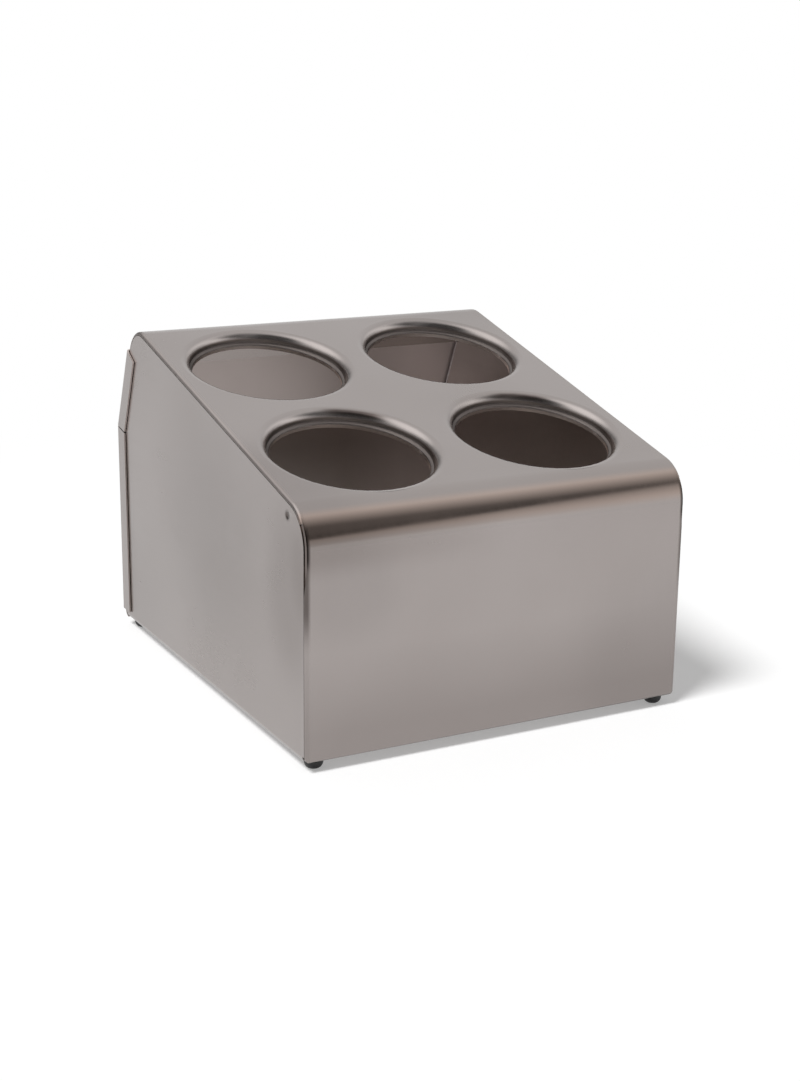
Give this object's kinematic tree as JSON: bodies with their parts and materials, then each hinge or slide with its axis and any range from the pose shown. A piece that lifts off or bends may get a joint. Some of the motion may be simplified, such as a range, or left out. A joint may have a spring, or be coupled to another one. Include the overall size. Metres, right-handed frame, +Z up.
{
  "type": "countertop cutlery cylinder holder",
  "caption": "Free-standing folded sheet housing with a sloping top and round drawn holes that hold cutlery cylinders, on rubber feet.",
  "frame": {"origin": "on the floor, under the middle of the bounding box", "axes": "+Z up, -Y out of the front face, +X to the right as seen from the front"},
  "size_m": [0.2526, 0.297, 0.2101],
  "materials": {
    "sheet": "brushed stainless sheet",
    "rubber": "matt black",
    "hardware": "plated screws, washers and nuts"
  },
  "bodies": {
    "root": {"top_front_panel": "sheet", "side_panel_left": "sheet", "side_panel_right": "sheet", "rear_panel": "sheet", "foot_front_left": "rubber", "foot_screw_front_left": "hardware", "foot_washer_front_left": "hardware", "foot_nut_front_left": "hardware", "foot_front_right": "rubber", "foot_screw_front_right": "hardware", "foot_washer_front_right": "hardware", "foot_nut_front_right": "hardware", "foot_rear_left": "rubber", "foot_screw_rear_left": "hardware", "foot_washer_rear_left": "hardware", "foot_nut_rear_left": "hardware", "foot_rear_right": "rubber", "foot_screw_rear_right": "hardware", "foot_washer_rear_right": "hardware", "foot_nut_rear_right": "hardware"}
  },
  "joints": []
}
